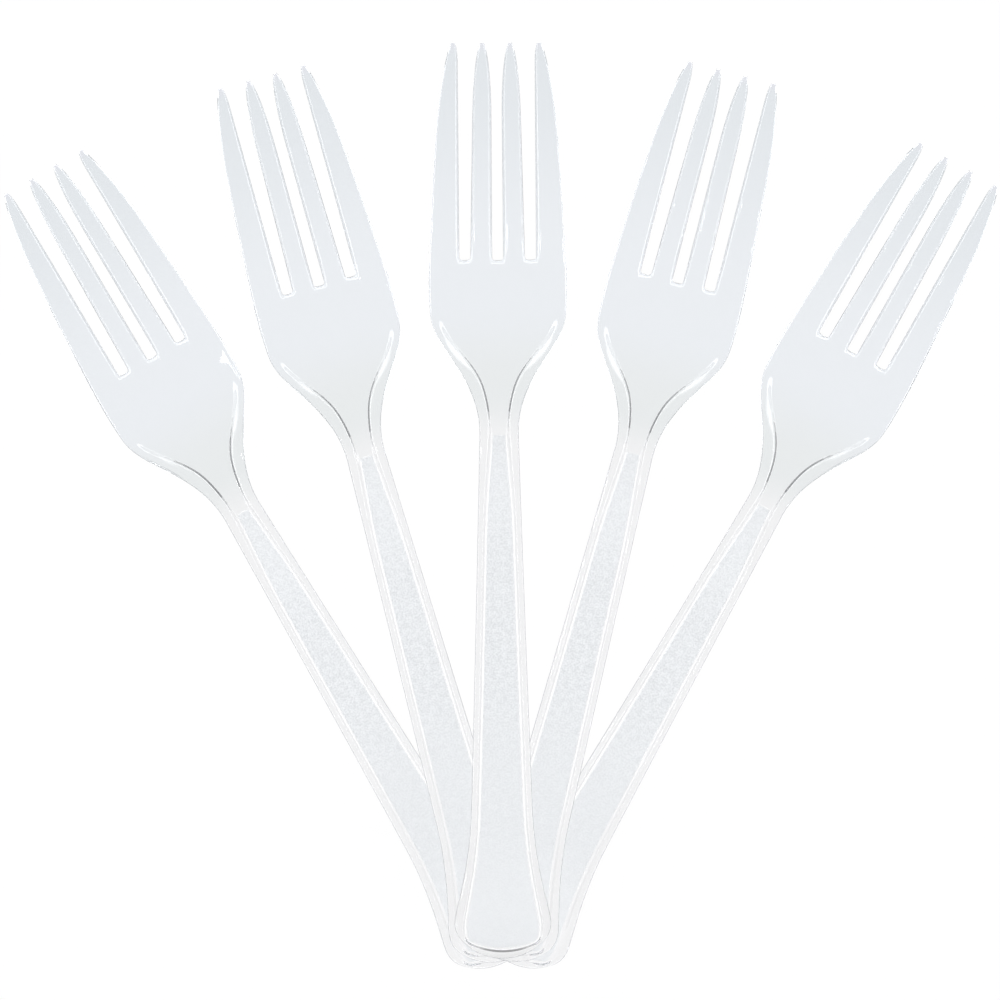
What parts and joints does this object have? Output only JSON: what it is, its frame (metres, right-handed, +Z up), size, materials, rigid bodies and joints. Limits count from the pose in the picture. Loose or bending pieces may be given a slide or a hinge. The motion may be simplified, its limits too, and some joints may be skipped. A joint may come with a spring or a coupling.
{
  "type": "plastic fork set",
  "caption": "Clear plastic forks fanned out face up, each resting on the handle ends below it, for eating at parties and picnics; each has a rimmed, frosted handle and slotted tines.",
  "frame": {"origin": "on the table under the middle of the fan's bounding box", "axes": "+X across the fan to the right, +Y along the middle fork from its handle end to its tines, +Z up"},
  "size_m": [0.1992, 0.1864, 0.0154],
  "materials": {
    "clear_plastic": "clear gloss, with a frosted grip panel on the handle"
  },
  "bodies": {
    "root": {"fork_centre": "clear_plastic", "fork_left_inner": "clear_plastic", "fork_right_inner": "clear_plastic", "fork_left_outer": "clear_plastic", "fork_right_outer": "clear_plastic"}
  },
  "joints": []
}
